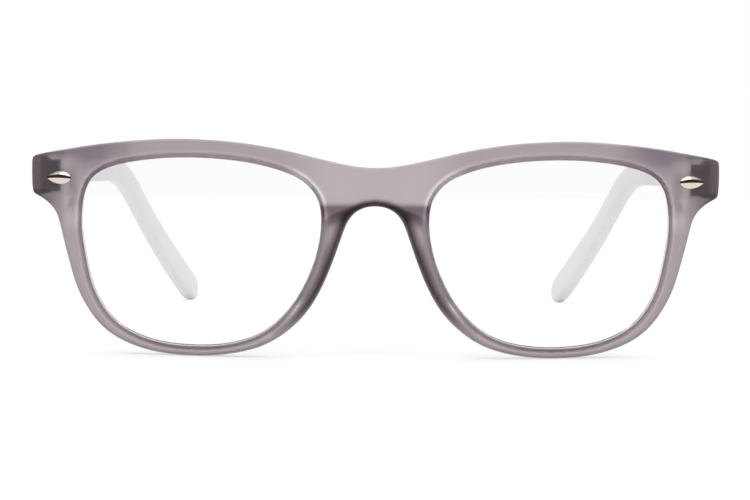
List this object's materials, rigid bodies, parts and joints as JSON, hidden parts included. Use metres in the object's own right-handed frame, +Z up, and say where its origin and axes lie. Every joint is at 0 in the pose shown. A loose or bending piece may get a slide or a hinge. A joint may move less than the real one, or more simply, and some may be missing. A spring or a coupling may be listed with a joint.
{
  "type": "photochromic eyeglasses",
  "caption": "Square full-rim eyeglasses with clear photochromic lenses, moulded nose pads, almond studs and sprung folding temples.",
  "frame": {"origin": "on the table under the middle of the opened glasses, at the bottom centre of their box", "axes": "+Z up, the front looks along -Y and the temples run back along +Y, +X is the wearer's left side"},
  "size_m": [0.1438, 0.1486, 0.045],
  "materials": {
    "smoke_plastic": "satin, slightly see-through smoke-grey injected frame plastic",
    "frost_plastic": "satin, milky pale grey temple plastic",
    "lens_resin": "clear polished photochromic lens resin in its clear state",
    "polished_nickel": "polished, warm nickel plating",
    "hinge_steel": "fine satin nickel silver",
    "screw_steel": "turned steel",
    "spring_steel": "drawn spring wire",
    "bush_brass": "turned brass"
  },
  "bodies": {
    "front_frame": {"front": "smoke_plastic", "lens_left": "lens_resin", "lens_right": "lens_resin", "stud_left": "polished_nickel", "stud_right": "polished_nickel", "hinge_block_left": "hinge_steel", "hinge_block_right": "hinge_steel", "hinge_screw_left": "screw_steel", "hinge_screw_right": "screw_steel"},
    "hinge_slider_left": {"slider_left": "hinge_steel", "rod_stop_left": "screw_steel", "hinge_spring_left": "spring_steel"},
    "temple_arm_left": {"temple_left": "frost_plastic", "spring_housing_left": "hinge_steel", "spring_bush_left": "bush_brass"},
    "hinge_slider_right": {"slider_right": "hinge_steel", "rod_stop_right": "screw_steel", "hinge_spring_right": "spring_steel"},
    "temple_arm_right": {"temple_right": "frost_plastic", "spring_housing_right": "hinge_steel", "spring_bush_right": "bush_brass"}
  },
  "joints": [
    {"name": "fold_left", "type": "hinge", "parent": "front_frame", "child": "hinge_slider_left", "pos_m": [-0.06775, -0.05782, 0.03721], "axis": [0, 0, -1], "range_deg": [0, 84]},
    {"name": "fold_right", "type": "hinge", "parent": "front_frame", "child": "hinge_slider_right", "pos_m": [0.06775, -0.05782, 0.03721], "axis": [0, 0, 1], "range_deg": [0, 77]},
    {"name": "flex_left", "type": "slide", "parent": "hinge_slider_left", "child": "temple_arm_left", "axis": [0, 1, 0], "range_m": [0, 0.0012], "stiffness_N_per_m": 3500, "springref_m": -0.0004, "deforming": ["hinge_spring_left"]},
    {"name": "flex_right", "type": "slide", "parent": "hinge_slider_right", "child": "temple_arm_right", "axis": [0, 1, 0], "range_m": [0, 0.0012], "stiffness_N_per_m": 3500, "springref_m": -0.0004, "deforming": ["hinge_spring_right"]}
  ]
}
